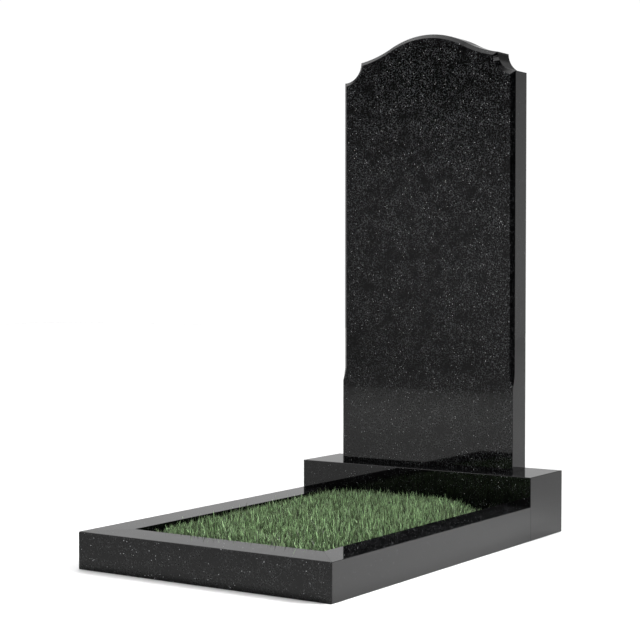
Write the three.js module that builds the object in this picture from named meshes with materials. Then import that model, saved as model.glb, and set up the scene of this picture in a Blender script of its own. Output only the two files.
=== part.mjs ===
// A granite grave memorial in millimetres, +Z up: an upright slab with an ogee top, the plinth block
// that it stands on, a kerb of three bars in front of the plinth, and the turf that fills the kerb.
// The origin is on the ground, at the middle of the whole footprint. The front looks along -Y.

import * as THREE from 'three';
import { ConvexGeometry } from 'three/addons/geometries/ConvexGeometry.js';

// Plinth block
const PLINTH_WIDTH = 664;
const PLINTH_DEPTH = 175;
const PLINTH_HEIGHT = 154;

// Kerb bars, flush with the plinth's ends; the front bar is wider than the side bars
const KERB_SIDE_WIDTH = 82;
const KERB_FRONT_WIDTH = 93;
const KERB_HEIGHT = 83;
const KERB_LENGTH = 873;

// Upright slab, set back from the plinth's front
const SLAB_WIDTH = 500;
const SLAB_HEIGHT = 1100;
const SLAB_THICKNESS = 70;
const SLAB_SETBACK = 65;

// Ogee top: a crown arc on the slab's axis turns into a hollow arc on each side, and the hollow
// still falls at a small angle where it meets the tip of the shoulder
const CROWN_RADIUS = 233;
const CROWN_HALF_ANGLE = THREE.MathUtils.degToRad(27.8);
const SHOULDER_SLOPE = THREE.MathUtils.degToRad(9.7);

// Quarter-round notch in each shoulder, struck from the corner of the slab
const NOTCH_RADIUS = 50;

// Chamfer round the slab's face, which runs out in an arc on each side above the foot
const CHAMFER = 10;
const CHAMFER_STOP_HEIGHT = 210;
const RUNOUT_RADIUS = 88;

// Eased arris on the other edges that show, and the tight joint between two stones
const ARRIS = 1;
const JOINT = 0.3;

// Turf: its edge lies below the kerb's top, and its middle is mounded a little above it
const TURF_EDGE_DROP = 6;
const TURF_MOUND = 14;
const TURF_SHOULDER = 60;
const TURF_CLEARANCE = 1;

// Steps along the curved parts of the slab's outline
const CROWN_STEPS = 56;
const HOLLOW_STEPS = 18;
const NOTCH_STEPS = 18;
const RUNOUT_STEPS = 10;

// Places that follow from the sizes
const FRONT_Y = -(KERB_LENGTH + PLINTH_DEPTH) / 2;
const PLINTH_FRONT_Y = FRONT_Y + KERB_LENGTH;
const OUTER_X = PLINTH_WIDTH / 2;

// The mitre runs from the kerb's outer corner to its inner corner, with half a joint on each side of it
const MITRE_LENGTH = Math.hypot(KERB_SIDE_WIDTH, KERB_FRONT_WIDTH);
const SIDE_PULLBACK = (JOINT / 2) * (MITRE_LENGTH / KERB_SIDE_WIDTH);
const FRONT_PULLBACK = (JOINT / 2) * (MITRE_LENGTH / KERB_FRONT_WIDTH);

const granite = () => new THREE.MeshStandardMaterial({
  color: 0x17181b,
  roughness: 0.08,
  metalness: 0,
  flatShading: true,
});

const grass = () => new THREE.MeshStandardMaterial({
  color: 0x527d4a,
  roughness: 0.9,
  metalness: 0,
  flatShading: true,
});

// Gives a geometry the name and the material of one piece
function piece(name, geometry, material) {
  const mesh = new THREE.Mesh(geometry, material);
  mesh.name = name;
  return mesh;
}

// A point at an angle on a circle
function onCircle(centre, radius, angle) {
  return new THREE.Vector2(centre.x + radius * Math.cos(angle), centre.y + radius * Math.sin(angle));
}

// Points of an arc from one angle to another, both ends included
function arc(centre, radius, from, to, steps) {
  const points = [];
  for (let i = 0; i <= steps; i += 1) {
    points.push(onCircle(centre, radius, THREE.MathUtils.lerp(from, to, i / steps)));
  }
  return points;
}

// The crossing of two circles that lies nearer to the left
function leftCrossing(centreA, radiusA, centreB, radiusB) {
  const apart = centreB.clone().sub(centreA);
  const distance = apart.length();
  const along = (distance ** 2 + radiusA ** 2 - radiusB ** 2) / (2 * distance);
  const across = Math.sqrt(radiusA ** 2 - along ** 2);
  const direction = apart.divideScalar(distance);
  const foot = centreA.clone().addScaledVector(direction, along);
  const normal = new THREE.Vector2(-direction.y, direction.x);
  const crossings = [across, -across].map((step) => foot.clone().addScaledVector(normal, step));
  return crossings[0].x < crossings[1].x ? crossings[0] : crossings[1];
}

// The right half of the slab's head, seen from the front, from the notch's foot to the axis.
// An inset moves every line and arc inwards by the same distance.
function headOutline(inset) {
  const side = SLAB_WIDTH / 2;
  const tipX = side - NOTCH_RADIUS;
  const turnX = CROWN_RADIUS * Math.sin(CROWN_HALF_ANGLE);
  const hollowRadius = (tipX - turnX) / (Math.sin(CROWN_HALF_ANGLE) - Math.sin(SHOULDER_SLOPE));
  const crownCentre = new THREE.Vector2(0, SLAB_HEIGHT - CROWN_RADIUS);
  const hollowCentre = new THREE.Vector2(
    crownCentre.x + (CROWN_RADIUS + hollowRadius) * Math.sin(CROWN_HALF_ANGLE),
    crownCentre.y + (CROWN_RADIUS + hollowRadius) * Math.cos(CROWN_HALF_ANGLE),
  );
  const tipHeight = hollowCentre.y - hollowRadius * Math.cos(SHOULDER_SLOPE);
  const notchCentre = new THREE.Vector2(side, tipHeight);

  const notch = NOTCH_RADIUS + inset;
  const hollow = hollowRadius + inset;
  const crown = CROWN_RADIUS - inset;
  const tip = leftCrossing(hollowCentre, hollow, notchCentre, notch);
  const angleFrom = (centre) => Math.atan2(tip.y - centre.y, tip.x - centre.x);

  // Angles run clockwise round the notch, so the tip's angle is taken below minus 90 degrees
  const notchFoot = -Math.PI / 2 - Math.asin(inset / notch);
  const notchTip = angleFrom(notchCentre) > 0 ? angleFrom(notchCentre) - 2 * Math.PI : angleFrom(notchCentre);
  const turn = -Math.PI / 2 - CROWN_HALF_ANGLE;
  return [
    ...arc(notchCentre, notch, notchFoot, notchTip, NOTCH_STEPS),
    ...arc(hollowCentre, hollow, angleFrom(hollowCentre), turn, HOLLOW_STEPS).slice(1),
    ...arc(crownCentre, crown, Math.PI / 2 - CROWN_HALF_ANGLE, Math.PI / 2, CROWN_STEPS / 2).slice(1),
  ];
}

// Heights on the slab's side, and the chamfer's width at each of them: the plain arris at the foot,
// then the arc in which the chamfer grows to its full width
function sideStations() {
  const growth = CHAMFER - ARRIS;
  const length = Math.sqrt(growth * (2 * RUNOUT_RADIUS - growth));
  const stations = [{ height: 0, width: ARRIS }];
  for (let i = 0; i <= RUNOUT_STEPS; i += 1) {
    const below = length * (1 - i / RUNOUT_STEPS);
    stations.push({
      height: CHAMFER_STOP_HEIGHT + length - below,
      width: CHAMFER - RUNOUT_RADIUS + Math.sqrt(RUNOUT_RADIUS ** 2 - below ** 2),
    });
  }
  return stations;
}

// Mirrors the right half of an outline, so that it runs from the right foot to the left foot
function bothHalves(rightHalf) {
  const leftHalf = rightHalf
    .filter((point) => point.x > 1e-6)
    .reverse()
    .map((point) => new THREE.Vector3(-point.x, point.y, point.z));
  return [...rightHalf, ...leftHalf];
}

// A ring of the slab: its outline moved inwards and set at a depth behind the face. The side's
// stations and the head give the inset and the depth as functions of the chamfer's width.
function slabRing(insetOf, depthOf) {
  const sides = sideStations().map(({ height, width }) => (
    new THREE.Vector3(SLAB_WIDTH / 2 - insetOf(width), depthOf(width), height)
  ));
  const head = headOutline(insetOf(CHAMFER)).map((point) => (
    new THREE.Vector3(point.x, depthOf(CHAMFER), point.y)
  ));
  return bothHalves([...sides, ...head]);
}

// Triangles of the flat face that a ring bounds, in the ring's own numbering
function capTriangles(ring) {
  const flat = ring.map((point) => new THREE.Vector2(point.x, point.z));
  return THREE.ShapeUtils.triangulateShape(flat, []);
}

// The slab as four rings from its face to its back, with bands between them and a cap at each end
function slabGeometry() {
  const rings = [
    slabRing((width) => width, () => 0),
    slabRing(() => 0, (width) => width),
    slabRing(() => 0, () => SLAB_THICKNESS - ARRIS),
    slabRing(() => ARRIS, () => SLAB_THICKNESS),
  ];
  const count = rings[0].length;
  const index = [];
  for (let ring = 0; ring + 1 < rings.length; ring += 1) {
    for (let i = 0; i + 1 < count; i += 1) {
      const near = ring * count + i;
      const far = near + count;
      index.push(near, far, near + 1);
      index.push(near + 1, far, far + 1);
    }
  }
  const back = (rings.length - 1) * count;
  for (const [a, b, c] of capTriangles(rings[0])) {
    index.push(a, b, c);
  }
  for (const [a, b, c] of capTriangles(rings[rings.length - 1])) {
    index.push(back + a, back + c, back + b);
  }

  // The foot is flat: its corners are the first point of each ring and then the last ones, back to front
  const right = rings.map((ring, number) => number * count);
  const left = right.map((first) => first + count - 1).reverse();
  const foot = [...right, ...left];
  for (let i = 1; i + 1 < foot.length; i += 1) {
    index.push(foot[0], foot[i + 1], foot[i]);
  }

  const geometry = new THREE.BufferGeometry().setFromPoints(rings.flat());
  geometry.setIndex(index);
  geometry.computeVertexNormals();
  return geometry;
}

// A block that stands on the ground about the origin, with all its edges eased
function easedBlock(width, depth, height, ease) {
  const points = [];
  for (const sx of [-1, 1]) {
    for (const sy of [-1, 1]) {
      for (const sz of [-1, 1]) {
        const corner = new THREE.Vector3(sx * width / 2, sy * depth / 2, sz * height / 2);
        for (const axis of ['x', 'y', 'z']) {
          const point = corner.clone().addScaledVector(new THREE.Vector3(sx, sy, sz), -ease);
          point[axis] = corner[axis];
          points.push(point);
        }
      }
    }
  }
  const geometry = new ConvexGeometry(points);
  geometry.translate(0, 0, height / 2);
  return geometry;
}

// Corners of a kerb bar's section: across runs from the outer face inwards, and height from the ground
function kerbSection(width) {
  const section = [];
  for (const [across, inwards] of [[0, 1], [width, -1]]) {
    for (const [height, upwards] of [[0, 1], [KERB_HEIGHT, -1]]) {
      section.push({ across: across + inwards * ARRIS, height });
      section.push({ across, height: height + upwards * ARRIS });
    }
  }
  return section;
}

// A kerb bar is the hull of its two ends, each of them the section set on its own cut
function kerbBar(width, startPoint, endPoint) {
  const section = kerbSection(width);
  return new ConvexGeometry([...section.map(startPoint), ...section.map(endPoint)]);
}

// A side bar runs back from its mitre at the front corner to the plinth
function sideKerb(side) {
  const mitreSlope = KERB_FRONT_WIDTH / KERB_SIDE_WIDTH;
  const at = (across, y, height) => new THREE.Vector3(side * (OUTER_X - across), y, height);
  return kerbBar(
    KERB_SIDE_WIDTH,
    ({ across, height }) => at(across, FRONT_Y + across * mitreSlope + SIDE_PULLBACK, height),
    ({ across, height }) => at(across, PLINTH_FRONT_Y - JOINT, height),
  );
}

// The front bar runs across between its two mitres
function frontKerb() {
  const mitreSlope = KERB_SIDE_WIDTH / KERB_FRONT_WIDTH;
  const end = (side) => ({ across, height }) => (
    new THREE.Vector3(side * (OUTER_X - across * mitreSlope - FRONT_PULLBACK), FRONT_Y + across, height)
  );
  return kerbBar(KERB_FRONT_WIDTH, end(-1), end(1));
}

// The turf fills the bed from the ground up: upright sides, then a slope to its mounded top
function turfGeometry() {
  const halfWidth = OUTER_X - KERB_SIDE_WIDTH - TURF_CLEARANCE;
  const front = FRONT_Y + KERB_FRONT_WIDTH + TURF_CLEARANCE;
  const back = PLINTH_FRONT_Y - TURF_CLEARANCE;
  const levels = [
    { height: 0, inset: 0 },
    { height: KERB_HEIGHT - TURF_EDGE_DROP, inset: 0 },
    { height: KERB_HEIGHT + TURF_MOUND, inset: TURF_SHOULDER },
  ];
  const points = [];
  for (const { height, inset } of levels) {
    for (const side of [-1, 1]) {
      points.push(new THREE.Vector3(side * (halfWidth - inset), front + inset, height));
      points.push(new THREE.Vector3(side * (halfWidth - inset), back - inset, height));
    }
  }
  return new ConvexGeometry(points);
}

const memorial = new THREE.Group();

const slab = piece('headstone_slab', slabGeometry(), granite());
slab.position.set(0, PLINTH_FRONT_Y + SLAB_SETBACK, PLINTH_HEIGHT + JOINT);
memorial.add(slab);

const plinth = piece('plinth', easedBlock(PLINTH_WIDTH, PLINTH_DEPTH, PLINTH_HEIGHT, ARRIS), granite());
plinth.position.set(0, PLINTH_FRONT_Y + PLINTH_DEPTH / 2, 0);
memorial.add(plinth);

memorial.add(piece('kerb_left', sideKerb(-1), granite()));
memorial.add(piece('kerb_right', sideKerb(1), granite()));
memorial.add(piece('kerb_front', frontKerb(), granite()));
memorial.add(piece('turf', turfGeometry(), grass()));

export default memorial;
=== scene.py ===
"""The looks of a black granite grave memorial: polished speckled stone and a bed of short grass."""

import math
import random

import bpy
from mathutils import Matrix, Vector

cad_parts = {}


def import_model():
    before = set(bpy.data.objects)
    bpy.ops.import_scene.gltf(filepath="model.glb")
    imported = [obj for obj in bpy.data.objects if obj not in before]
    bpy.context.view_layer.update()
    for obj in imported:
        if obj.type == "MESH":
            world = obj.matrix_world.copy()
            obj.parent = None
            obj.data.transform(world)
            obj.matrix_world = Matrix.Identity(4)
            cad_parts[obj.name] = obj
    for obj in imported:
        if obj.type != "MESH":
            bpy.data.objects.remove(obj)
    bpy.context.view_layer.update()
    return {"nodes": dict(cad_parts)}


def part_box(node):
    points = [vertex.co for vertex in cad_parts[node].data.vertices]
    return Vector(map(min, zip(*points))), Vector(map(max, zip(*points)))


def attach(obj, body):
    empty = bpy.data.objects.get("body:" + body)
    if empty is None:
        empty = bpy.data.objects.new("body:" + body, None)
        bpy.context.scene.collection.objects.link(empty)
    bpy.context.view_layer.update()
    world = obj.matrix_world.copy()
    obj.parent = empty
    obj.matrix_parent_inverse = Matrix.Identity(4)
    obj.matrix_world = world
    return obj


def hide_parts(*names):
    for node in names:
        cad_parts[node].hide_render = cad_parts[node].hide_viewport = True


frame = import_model()

# Each block of stone: the strength of its grey grain, weakest on the plinth and strongest on the slab
# as painted shade and light on one stone, and how well its polish mirrors
STONES = {
    "headstone_slab": (0.047, 0.32),
    "plinth": (0.010, 0.32),
    "kerb_left": (0.018, 0.32),
    "kerb_right": (0.018, 0.32),
    "kerb_front": (0.016, 0.235),
}
STONE_DARK = (0.0006, 0.0006, 0.0007, 1)
STONE_PALE = (0.95, 0.97, 1.0, 1)
STONE_ROUGHNESS = 0.03
STONE_IOR = 1.4

# Grain: cells per metre, and the power that leaves only a few of them pale
GRAIN_SCALE = 380
GRAIN_POWER = 4.0

# Flecks, small and large: cells per metre, share of the cells with one, radius in cells, strength
FLECKS = ((520, 0.14, 0.40, 0.17), (340, 0.035, 0.30, 0.50))
FLECK_POWER = 2.0

# Clouds that thin out the grain and the flecks in places: the scale is per metre
CLOUD_SCALE = 30
CLOUD_DETAIL = 3
CLOUD_CONTRAST = 3.5
CLOUD_SHIFT = -0.94

# How much of the grain shows on any face, and the painted light added to it on faces that look to the
# front or back and on level ones, each with the power that keeps it to them
GRAIN_ANYWHERE = 0.16
PAINTED_LIGHT_ON_FRONT = 0.9
PAINTED_LIGHT_ON_TOP = 0.9
FRONT_POWER = 8.0
TOP_POWER = 5.0

# Grass: colours from the root to the tip of a blade, near black at the root as painted shade deep in
# the turf, and what a blade's tone of 0 to 1 does to them
BLADE_COLOURS_WITH_PAINTED_SHADE = (
    (0.0, (0.002, 0.005, 0.0015, 1)),
    (0.6, (0.040, 0.075, 0.024, 1)),
    (1.0, (0.42, 0.58, 0.295, 1)),
)
BLADE_ROUGHNESS = 0.5
DARKEST_VALUE = 0.07
VALUE_BY_TONE_SQUARED = 2.35
FIRST_HUE = 0.475
HUE_BY_TONE = 0.05

# Lawn, with its lengths in metres; the soil lies SOIL_DROP below the top of the kerb
BLADE_COUNT = 35000
BLADE_SEED = 11
SOIL_DROP = 0.034
SOIL_TONE = 0.3
ROOT_DEPTH = 0.001
BLADE_WIDTH = (0.0015, 0.0032)
BLADE_MARGIN = 0.003
SHORTEST_BLADE = 0.008

# A blade's bend: where it is as a share of the length, and the width there as a share of the root's
BEND_AT = 0.55
BEND_WIDTH = 0.85

# Lean of the blades: its spread, its most, and the share of it at the root. From the root to the
# tip it grows by the whole lean.
LEAN_SPREAD_DEGREES = 11
LEAN_MOST_DEGREES = 45
LEAN_AT_ROOT = 0.5

# Heights of the blade tips, in metres from the top of the kerb
TIP_AT_SIDE = -0.010
TIP_RISE_TO_MIDDLE = 0.011
SIDE_POWER = 4
TIP_RISE_TO_PLINTH = 0.006
TIP_SPREAD = 0.006

# One blade in TALL_BLADE_ODDS is taller, by up to TALL_BLADE metres
TALL_BLADE = 0.012
TALL_BLADE_ODDS = 20

# Two corners of the lawn are low: how much, and how far the dip and the shade reach, in metres
FRONT_LEFT_DIP = 0.016
FRONT_LEFT_REACH = 0.10
BACK_RIGHT_DIP = 0.034
BACK_RIGHT_REACH = 0.13
CORNER_SHADE = 0.08

# Below the top of the kerb the blades keep this far inside its walls, in metres
WALL_GAP = 0.001

# Camera, in the frame of the memorial: its place, where it looks, its lens and how far it sees, with
# places and distances in metres
CAMERA_PLACE = (2.0308, -3.1099, 0.6538)
CAMERA_AZIMUTH = math.radians(33.744)
CAMERA_DOWN = math.radians(1.781)
CAMERA_LENS_MM = 89.363
SENSOR_MM = 36.0
CAMERA_REACH = 100

# Floor, in metres
FLOOR_LOW = (-12.0, -3.6)
FLOOR_HIGH = (5.4, 12.0)
FLOOR_DROP = 0.0005
FLOOR_COLOUR = (0.87, 0.87, 0.87, 1)
FLOOR_ROUGHNESS = 0.7

# A direction in the studio has a turn, from 0 on the far side to 1 behind the camera, and a height,
# from 0 at the horizon to 1 overhead. A rise or a fall is the steepness of a change.

# Walls: their tones by the turn, how fast they darken with the height squared, which sets in over
# the first part of the turn, and the least share of the tone that stays
WALL_TONES = ((0.0, 0.32), (0.30, 0.55), (0.67, 0.25), (0.77, 0.42), (0.93, 0.02), (1.0, 0.01))
WALL_BRIGHTNESS = 2.0
WALL_FADE = 14.0
WALL_FADE_BY_TURN = 60.0
WALL_FADE_RISE = 2.5
WALL_FADE_LEAST = 0.2

# Far side, which fades out with the turn; its wall is dimmer high up
FAR_SIDE_FALL = 5.0
UPPER_WALL_START = 0.2
UPPER_WALL_RISE = 7.0
UPPER_WALL_DIM = 0.75

# Dome overhead: the heights where it starts and is full, and what lifts them
DOME_BRIGHTNESS = 2.32
DOME_EDGE = (0.27, 0.60)
DOME_LIFT_BY_TURN = 0.6
DOME_LIFT_FAR_SIDE = 0.2

# Pale ground under the horizon: the depths where it starts and is full, and the turn where it ends
GROUND_EDGE = (0.055, 0.09)
GROUND_END_TURN = 0.9
GROUND_END_FALL = 8.0

# Backdrop that the camera sees in place of the studio
BACKDROP_COLOUR = (1.02, 1.02, 1.02, 1)

# Square soft boxes: place and target in metres, width in metres, watts, spread in degrees
LAMPS = {
    "key_light": ((1.75, 0.4, 1.9), (0.6, -0.5, 0.0), 1.1, 21, 70),
    "fill_light": ((-1.6, -2.5, 2.4), (-1.6, -2.35, 0.0), 1.4, 20, 110),
    "front_light": ((-1.3, -1.5, 2.5), (0.13, 0.41, 0.82), 0.8, 2.7, 28),
    "back_light": ((-1.8, 2.8, 4.0), (-1.4, 2.2, 0.0), 1.5, 34, 150),
    "side_light": ((3.4, 5.2, 4.0), (3.4, 5.4, 0.0), 2.0, 25, 150),
    "corner_light": ((4.2, -1.9, 4.0), (4.5, -2.1, 0.0), 2.5, 85, 160),
    "left_light": ((-6.6, -0.3, 5.0), (-7.0, -0.3, 0.0), 3.0, 110, 115),
    "backdrop_light": ((-7.5, 8.5, 6.0), (-7.5, 10.0, 0.0), 3.0, 200, 170),
}


def link(obj):
    bpy.context.scene.collection.objects.link(obj)
    return obj


def mesh_object(name, vertices, faces):
    mesh = bpy.data.meshes.new(name)
    mesh.from_pydata(vertices, [], faces)
    mesh.update()
    return link(bpy.data.objects.new(name, mesh))


class Nodes:
    """Short names for the nodes of one material or world."""

    def __init__(self, owner):
        owner.use_nodes = True
        self.tree = owner.node_tree
        self.tree.nodes.clear()

    def add(self, kind, **settings):
        node = self.tree.nodes.new(kind)
        for name, value in settings.items():
            setattr(node, name, value)
        return node

    def join(self, output, entry):
        self.tree.links.new(output, entry)

    def math(self, operation, *values, clamp=False):
        """One step of arithmetic on node outputs and plain numbers."""
        node = self.add("ShaderNodeMath", operation=operation, use_clamp=clamp)
        for entry, value in zip(node.inputs, values):
            if isinstance(value, (int, float)):
                entry.default_value = value
            else:
                self.join(value, entry)
        return node.outputs[0]

    def times(self, first, second, clamp=False):
        return self.math("MULTIPLY", first, second, clamp=clamp)

    def plus(self, first, second, clamp=False):
        return self.math("ADD", first, second, clamp=clamp)

    def minus(self, first, second, clamp=False):
        return self.math("SUBTRACT", first, second, clamp=clamp)

    def ramp(self, value, steps):
        """The colour for a value between (position, colour) steps, which are in rising order."""
        node = self.add("ShaderNodeValToRGB")
        ramp = node.color_ramp
        first, *between, last = steps
        ramp.elements[0].position, ramp.elements[0].color = first
        ramp.elements[1].position, ramp.elements[1].color = last
        for position, colour in between:
            ramp.elements.new(position).color = colour
        self.join(value, node.inputs["Fac"])
        return node.outputs["Color"]

    def grey_ramp(self, value, steps):
        return self.ramp(value, [(position, (grey, grey, grey, 1)) for position, grey in steps])

    def surface(self, roughness):
        """A Principled shader that is joined to the output of the material."""
        shader = self.add("ShaderNodeBsdfPrincipled")
        shader.inputs["Roughness"].default_value = roughness
        output = self.add("ShaderNodeOutputMaterial")
        self.join(shader.outputs[0], output.inputs["Surface"])
        return shader


def stone_cells(nodes, place, scale):
    """Random cells in the stone: the distance to a cell's middle, and its random colour's channels."""
    cells = nodes.add("ShaderNodeTexVoronoi")
    cells.inputs["Scale"].default_value = scale
    nodes.join(place, cells.inputs["Vector"])
    channels = nodes.add("ShaderNodeSeparateColor")
    nodes.join(cells.outputs["Color"], channels.inputs["Color"])
    return cells.outputs["Distance"], channels.outputs


def clouds(nodes, place):
    """Soft patches from 0, where the stone is plain, to 1."""
    noise = nodes.add("ShaderNodeTexNoise")
    noise.inputs["Scale"].default_value = CLOUD_SCALE
    noise.inputs["Detail"].default_value = CLOUD_DETAIL
    nodes.join(place, noise.inputs["Vector"])
    return nodes.plus(nodes.times(noise.outputs["Fac"], CLOUD_CONTRAST), CLOUD_SHIFT, clamp=True)


def grain_share_with_painted_light(nodes):
    """How much of the grain shows, by where a face looks; the extra on front, back and level faces is
    painted light.
    """
    facing = nodes.add("ShaderNodeSeparateXYZ")
    nodes.join(nodes.add("ShaderNodeNewGeometry").outputs["Normal"], facing.inputs[0])
    front = nodes.math("POWER", nodes.math("ABSOLUTE", facing.outputs["Y"]), FRONT_POWER)
    top = nodes.math("POWER", nodes.math("ABSOLUTE", facing.outputs["Z"]), TOP_POWER)
    shown = nodes.plus(nodes.times(front, PAINTED_LIGHT_ON_FRONT), nodes.times(top, PAINTED_LIGHT_ON_TOP))
    return nodes.plus(shown, GRAIN_ANYWHERE)


def granite_material(name, grain_and_painted_light, polish):
    """Polished black gabbro: near-black, with grey crystals of many tones below a glossy face; how
    strongly they show carries painted light and shade.
    """
    material = bpy.data.materials.new(name)
    nodes = Nodes(material)
    shader = nodes.surface(STONE_ROUGHNESS)
    shader.inputs["IOR"].default_value = STONE_IOR
    shader.inputs["Specular IOR Level"].default_value = polish

    place = nodes.add("ShaderNodeTexCoord").outputs["Object"]
    patchy = clouds(nodes, place)
    _, grain = stone_cells(nodes, place, GRAIN_SCALE)
    # Painted light and shade: the grain is weaker on some blocks of the one stone than on others.
    total = nodes.times(nodes.math("POWER", grain["Green"], GRAIN_POWER), grain_and_painted_light)
    total = nodes.times(total, patchy)
    for scale, share, radius, strength in FLECKS:
        distance, fleck = stone_cells(nodes, place, scale)
        chosen = nodes.math("LESS_THAN", fleck["Red"], nodes.times(patchy, share))
        inside = nodes.math("LESS_THAN", distance, radius)
        bright = nodes.times(nodes.math("POWER", fleck["Green"], FLECK_POWER), strength)
        total = nodes.plus(total, nodes.times(nodes.times(chosen, inside), bright))
    # Painted light: grain and flecks are stronger on faces that look to the front or back and on level
    # faces.
    total = nodes.times(total, grain_share_with_painted_light(nodes))

    mix = nodes.add("ShaderNodeMix", data_type="RGBA")
    mix.inputs["A"].default_value = STONE_DARK
    mix.inputs["B"].default_value = STONE_PALE
    nodes.join(total, mix.inputs["Factor"])
    nodes.join(mix.outputs["Result"], shader.inputs["Base Color"])
    return material


def grass_material():
    """Blades that are pale at the tip and near black at the root as painted shade, each with a tone of
    its own.
    """
    material = bpy.data.materials.new("grass_blades")
    nodes = Nodes(material)
    along = nodes.add("ShaderNodeAttribute", attribute_name="along").outputs["Fac"]
    tone = nodes.add("ShaderNodeAttribute", attribute_name="tone").outputs["Fac"]
    value = nodes.plus(nodes.times(nodes.times(tone, tone), VALUE_BY_TONE_SQUARED), DARKEST_VALUE)
    hue = nodes.plus(nodes.times(tone, HUE_BY_TONE), FIRST_HUE)
    vary = nodes.add("ShaderNodeHueSaturation")
    nodes.join(nodes.ramp(along, BLADE_COLOURS_WITH_PAINTED_SHADE), vary.inputs["Color"])
    nodes.join(value, vary.inputs["Value"])
    nodes.join(hue, vary.inputs["Hue"])
    nodes.join(vary.outputs["Color"], nodes.surface(BLADE_ROUGHNESS).inputs["Base Color"])
    return material


def floor_material():
    material = bpy.data.materials.new("floor_pale")
    Nodes(material).surface(FLOOR_ROUGHNESS).inputs["Base Color"].default_value = FLOOR_COLOUR
    return material


def dress_granite():
    for name, (grain_and_painted_light, polish) in STONES.items():
        node = frame["nodes"][name]
        node.data.materials.clear()
        node.data.materials.append(granite_material("granite_" + name, grain_and_painted_light, polish))


def tip_height(across, deep, from_front_left, from_back_right):
    """Height of the blade tips above the kerb's top: across is -1 to 1, deep is 0 (front) to 1."""
    height = TIP_AT_SIDE + TIP_RISE_TO_MIDDLE * (1 - across ** SIDE_POWER) + TIP_RISE_TO_PLINTH * deep
    height -= FRONT_LEFT_DIP * max(0.0, 1 - from_front_left / FRONT_LEFT_REACH)
    height -= BACK_RIGHT_DIP * max(0.0, 1 - from_back_right / BACK_RIGHT_REACH)
    return height


def soil_block(low, high, top):
    """The corners of the soil, the lower four first, and its faces."""
    corners = ((low.x, low.y), (high.x, low.y), (high.x, high.y), (low.x, high.y))
    vertices = [(x, y, z) for z in (low.z, top) for x, y in corners]
    faces = [(3, 2, 1, 0), (4, 5, 6, 7)]
    for side in range(4):
        after = (side + 1) % 4
        faces.append((side, after, after + 4, side + 4))
    return vertices, faces


def blade(rng, low, high, kerb_top):
    """The five corners of one blade of grass, from the root to the tip, and its tone."""
    x = rng.uniform(low.x + BLADE_MARGIN, high.x - BLADE_MARGIN)
    y = rng.uniform(low.y + BLADE_MARGIN, high.y - BLADE_MARGIN)
    width = rng.uniform(*BLADE_WIDTH)
    turn = rng.uniform(0, 2 * math.pi)
    lean = math.radians(min(abs(rng.gauss(0, LEAN_SPREAD_DEGREES)), LEAN_MOST_DEGREES))
    heading = rng.uniform(0, 2 * math.pi)
    tone = rng.random()
    extra = rng.gauss(0, TIP_SPREAD)
    extra += TALL_BLADE * max(0.0, TALL_BLADE_ODDS * rng.random() - (TALL_BLADE_ODDS - 1))

    front_left = math.hypot(x - low.x, y - low.y)
    back_right = math.hypot(high.x - x, high.y - y)
    tone *= min(1.0, front_left / CORNER_SHADE, back_right / CORNER_SHADE)
    across = 2 * (x - low.x) / (high.x - low.x) - 1
    deep = (y - low.y) / (high.y - low.y)
    length = SOIL_DROP + tip_height(across, deep, front_left, back_right) + extra
    length = max(length, SHORTEST_BLADE) / math.cos(lean)

    sideways = Vector((math.cos(turn), math.sin(turn), 0)) * (width / 2)
    away = Vector((math.cos(heading), math.sin(heading), 0))
    start = Vector((x, y, kerb_top - SOIL_DROP - ROOT_DEPTH))
    spine = []
    for share in (0.0, BEND_AT, 1.0):
        angle = lean * (LEAN_AT_ROOT + share)
        rise = Vector((0, 0, length * share * math.cos(angle)))
        spot = start + away * (length * share * math.sin(angle)) + rise
        if spot.z < kerb_top + WALL_GAP:
            spot.x = min(max(spot.x, low.x + WALL_GAP), high.x - WALL_GAP)
            spot.y = min(max(spot.y, low.y + WALL_GAP), high.y - WALL_GAP)
        spine.append(spot)
    root, bend, tip = spine
    at_bend = sideways * BEND_WIDTH
    return [root - sideways, root + sideways, bend - at_bend, bend + at_bend, tip], tone


def lawn():
    """Soil and blades as one piece that stands for the turf node."""
    low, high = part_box("turf")
    kerb_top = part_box("kerb_front")[1].z
    vertices, faces = soil_block(low, high, kerb_top - SOIL_DROP)
    # The soil takes the blades' root colour, near black as painted shade under the grass.
    along = [0.0] * len(vertices)
    tones = [SOIL_TONE] * len(vertices)
    rng = random.Random(BLADE_SEED)
    for _ in range(BLADE_COUNT):
        first = len(vertices)
        corners, tone = blade(rng, low, high, kerb_top)
        vertices += corners
        faces += [(first, first + 1, first + 3, first + 2), (first + 2, first + 3, first + 4)]
        along += [0.0, 0.0, BEND_AT, BEND_AT, 1.0]
        tones += [tone] * len(corners)
    piece = mesh_object("lawn", vertices, faces)
    for name, values in (("along", along), ("tone", tones)):
        piece.data.attributes.new(name, "FLOAT", "POINT").data.foreach_set("value", values)
    piece.data.materials.append(grass_material())
    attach(piece, "root")
    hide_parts("turf")


def camera():
    data = bpy.data.cameras.new("camera")
    data.lens = CAMERA_LENS_MM
    data.sensor_width = SENSOR_MM
    data.clip_end = CAMERA_REACH
    eye = link(bpy.data.objects.new("camera", data))
    eye.location = CAMERA_PLACE
    eye.rotation_euler = (math.pi / 2 - CAMERA_DOWN, 0, CAMERA_AZIMUTH)
    bpy.context.scene.camera = eye


def floor():
    (left, near), (right, far) = FLOOR_LOW, FLOOR_HIGH
    corners = [(left, near, 0), (right, near, 0), (right, far, 0), (left, far, 0)]
    piece = mesh_object("floor", corners, [(0, 1, 2, 3)])
    piece.location.z = -FLOOR_DROP
    piece.data.materials.append(floor_material())


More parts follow.
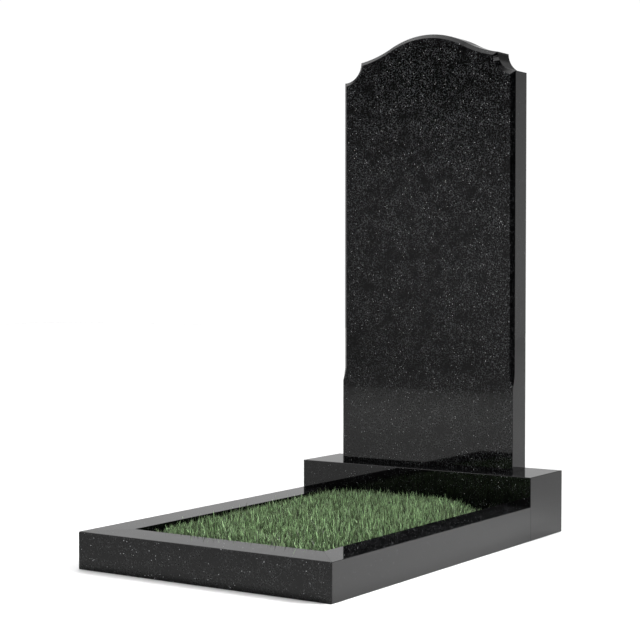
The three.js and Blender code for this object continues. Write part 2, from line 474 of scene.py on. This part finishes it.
def turn_and_height(nodes):
    """The turn of a direction, 0 on the far side and 1 behind the camera, and its height."""
    direction = nodes.add("ShaderNodeTexCoord").outputs["Generated"]
    parts = nodes.add("ShaderNodeSeparateXYZ")
    nodes.join(direction, parts.inputs[0])
    flat = nodes.add("ShaderNodeVectorMath", operation="MULTIPLY")
    flat.inputs[1].default_value = (1, 1, 0)
    nodes.join(direction, flat.inputs[0])
    level = nodes.add("ShaderNodeVectorMath", operation="NORMALIZE")
    nodes.join(flat.outputs[0], level.inputs[0])
    towards = nodes.add("ShaderNodeVectorMath", operation="DOT_PRODUCT")
    towards.inputs[1].default_value = (math.sin(CAMERA_AZIMUTH), -math.cos(CAMERA_AZIMUTH), 0)
    nodes.join(level.outputs[0], towards.inputs[0])
    turn = nodes.plus(nodes.times(towards.outputs["Value"], 0.5), 0.5)
    return turn, parts.outputs["Z"]


def studio_strength(nodes):
    """Brightness of the studio: walls, a bright dome overhead, and pale ground under the horizon."""
    turn, height = turn_and_height(nodes)
    ring = nodes.times(nodes.grey_ramp(turn, WALL_TONES), WALL_BRIGHTNESS)
    amount = nodes.plus(nodes.times(turn, WALL_FADE_BY_TURN), WALL_FADE)
    amount = nodes.times(amount, nodes.times(turn, WALL_FADE_RISE, clamp=True))
    fade = nodes.minus(1.0, nodes.times(nodes.times(height, height), amount))
    walls = nodes.times(ring, nodes.math("MAXIMUM", fade, WALL_FADE_LEAST))
    far_side = nodes.minus(1.0, nodes.times(turn, FAR_SIDE_FALL), clamp=True)
    upper_wall = nodes.times(nodes.minus(height, UPPER_WALL_START), UPPER_WALL_RISE, clamp=True)
    dim = nodes.times(nodes.times(far_side, upper_wall), UPPER_WALL_DIM)
    walls = nodes.times(walls, nodes.minus(1.0, dim))

    shifted = nodes.minus(height, nodes.times(turn, DOME_LIFT_BY_TURN))
    shifted = nodes.minus(shifted, nodes.times(far_side, DOME_LIFT_FAR_SIDE))
    dome = nodes.grey_ramp(shifted, zip(DOME_EDGE, (0.0, 1.0)))
    ground = nodes.grey_ramp(nodes.times(height, -1.0), zip(GROUND_EDGE, (0.0, 1.0)))
    ground_ends = nodes.times(nodes.minus(GROUND_END_TURN, turn), GROUND_END_FALL, clamp=True)
    ground = nodes.times(ground, ground_ends)
    bright = nodes.math("MAXIMUM", nodes.times(dome, DOME_BRIGHTNESS), ground)
    share = nodes.math("MAXIMUM", dome, ground)
    return nodes.plus(nodes.times(walls, nodes.minus(1.0, share)), bright)


def world():
    """The studio lights the memorial and is mirrored in it; the camera sees a plain backdrop."""
    surroundings = bpy.data.worlds.new("studio")
    bpy.context.scene.world = surroundings
    nodes = Nodes(surroundings)
    studio = nodes.add("ShaderNodeBackground")
    studio.inputs["Color"].default_value = (1, 1, 1, 1)
    nodes.join(studio_strength(nodes), studio.inputs["Strength"])
    backdrop = nodes.add("ShaderNodeBackground")
    backdrop.inputs["Color"].default_value = BACKDROP_COLOUR
    both = nodes.add("ShaderNodeMixShader")
    nodes.join(nodes.add("ShaderNodeLightPath").outputs["Is Camera Ray"], both.inputs[0])
    nodes.join(studio.outputs[0], both.inputs[1])
    nodes.join(backdrop.outputs[0], both.inputs[2])
    output = nodes.add("ShaderNodeOutputWorld")
    nodes.join(both.outputs[0], output.inputs["Surface"])


def lamps():
    for name, (place, target, width, watts, spread) in LAMPS.items():
        data = bpy.data.lights.new(name, "AREA")
        data.size = width
        data.energy = watts
        data.spread = math.radians(spread)
        lamp = link(bpy.data.objects.new(name, data))
        lamp.location = place
        lamp.rotation_euler = (Vector(target) - Vector(place)).to_track_quat("-Z", "Y").to_euler()


camera()
world()
lamps()
floor()
dress_granite()
lawn()

bpy.context.scene.view_settings.view_transform = "Standard"
